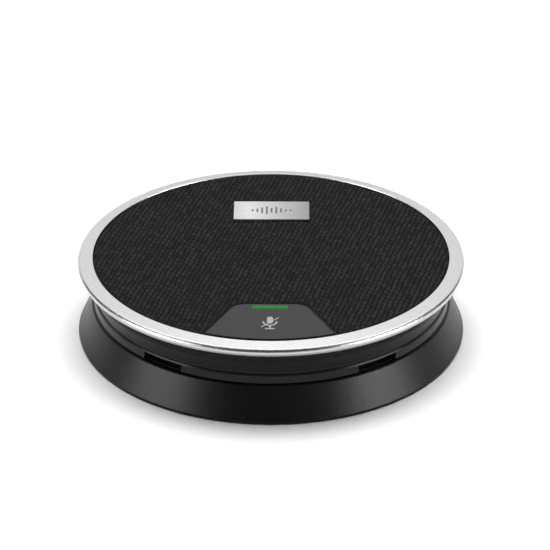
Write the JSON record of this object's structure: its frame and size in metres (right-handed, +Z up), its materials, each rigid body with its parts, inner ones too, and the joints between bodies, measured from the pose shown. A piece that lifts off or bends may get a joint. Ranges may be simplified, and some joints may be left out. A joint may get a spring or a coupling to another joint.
{
  "type": "conference speakerphone",
  "caption": "Round tabletop speakerphone with a flared base, a waisted neck, a metal ring, a crowned twill top, a nameplate and a mute key with a light bar.",
  "frame": {"origin": "middle of the footprint, on the surface the rubber foot stands on", "axes": "+Z up through the middle of the fabric top; -Y towards the mute key; +Y towards the cable socket; +X to the right seen from the key's side"},
  "size_m": [0.1204, 0.1204, 0.0271],
  "materials": {
    "satin_black": "fine-textured satin",
    "neck_black": "semi-gloss",
    "cover_black": "matt moulded",
    "ring_metal": "circular brushed, silver",
    "plate_metal": "brushed, silver",
    "twill": "steep twill, black",
    "grille_black": "matt",
    "key_grey": "matt dark grey",
    "light_green": "lit green light guide",
    "symbol_grey": "matt light grey",
    "mesh_black": "acoustic mesh",
    "foot_rubber": "matt",
    "foam": "open-cell foam",
    "screw_steel": "zinc plated",
    "ballast_steel": "rolled",
    "basket_steel": "black powder coat",
    "plated_steel": "zinc plated",
    "ferrite": "sintered",
    "board_green": "solder mask",
    "chip_black": "moulded epoxy",
    "can_silver": "drawn can",
    "connector_white": "moulded nylon",
    "socket_metal": "nickel plated",
    "tongue_black": "moulded",
    "tab_brass": "tinned",
    "strip_tan": "phenolic board",
    "wire_red": "insulated wire",
    "flex_amber": "polyimide film",
    "capsule_metal": "nickel plated lid",
    "led_white": "clear resin",
    "plunger_white": "moulded",
    "cone_paper": "pressed pulp",
    "former_amber": "polyimide tube",
    "winding_copper": "enamelled copper wire",
    "spider_cloth": "resin-stiffened cloth"
  },
  "bodies": {
    "housing": {"amplifier_chip": "chip_black", "ballast_plate": "ballast_steel", "base_shell": "satin_black", "board_capacitors": "can_silver", "board_screws": "screw_steel", "bottom_cover": "cover_black", "chassis_plate": "cover_black", "chassis_screws": "screw_steel", "cover_screws": "screw_steel", "fabric_cover": "twill", "flex_connector": "connector_white", "foot_ring": "foot_rubber", "grille_plate": "grille_black", "key_board": "board_green", "key_flex": "flex_amber", "light_shield": "foot_rubber", "main_board": "board_green", "microphone_boots": "foot_rubber", "microphone_flex": "flex_amber", "microphones": "capsule_metal", "nameplate": "plate_metal", "neck_screws": "screw_steel", "neck_shell": "neck_black", "processor_chip": "chip_black", "speaker_basket": "basket_steel", "speaker_connector": "connector_white", "speaker_gasket": "foam", "speaker_magnet": "ferrite", "speaker_screws": "screw_steel", "speaker_spider": "spider_cloth", "speaker_surround": "foot_rubber", "speaker_top_plate": "plated_steel", "speaker_wires": "wire_red", "speaker_yoke": "plated_steel", "status_leds": "led_white", "switch_body": "chip_black", "terminal_strip": "strip_tan", "terminal_tabs": "tab_brass", "trim_ring": "ring_metal", "usb_contact_tongue": "tongue_black", "usb_socket": "socket_metal", "vent_mesh": "mesh_black"},
    "key": {"mute_key": "key_grey", "key_light_bar": "light_green", "mute_symbol": "symbol_grey"},
    "plunger": {"switch_plunger": "plunger_white"},
    "diaphragm": {"speaker_cone": "cone_paper", "dust_cap": "cone_paper", "coil_former": "former_amber", "coil_winding": "winding_copper"}
  },
  "joints": [
    {"name": "key_press", "type": "slide", "parent": "housing", "child": "key", "axis": [0, 0, -1], "range_m": [0, 0.0004], "stiffness_N_per_m": 3500},
    {"name": "switch_press", "type": "slide", "parent": "housing", "child": "plunger", "axis": [0, 0, -1], "range_m": [0, 0.0004]},
    {"name": "cone_travel", "type": "slide", "parent": "housing", "child": "diaphragm", "axis": [0, 0, 1], "range_m": [-0.001, 0.001], "stiffness_N_per_m": 1500, "deforming": ["speaker_surround", "speaker_spider"]}
  ],
  "couplings": [
    {"joint": "switch_press", "follows": "key_press", "ratio": 1}
  ]
}
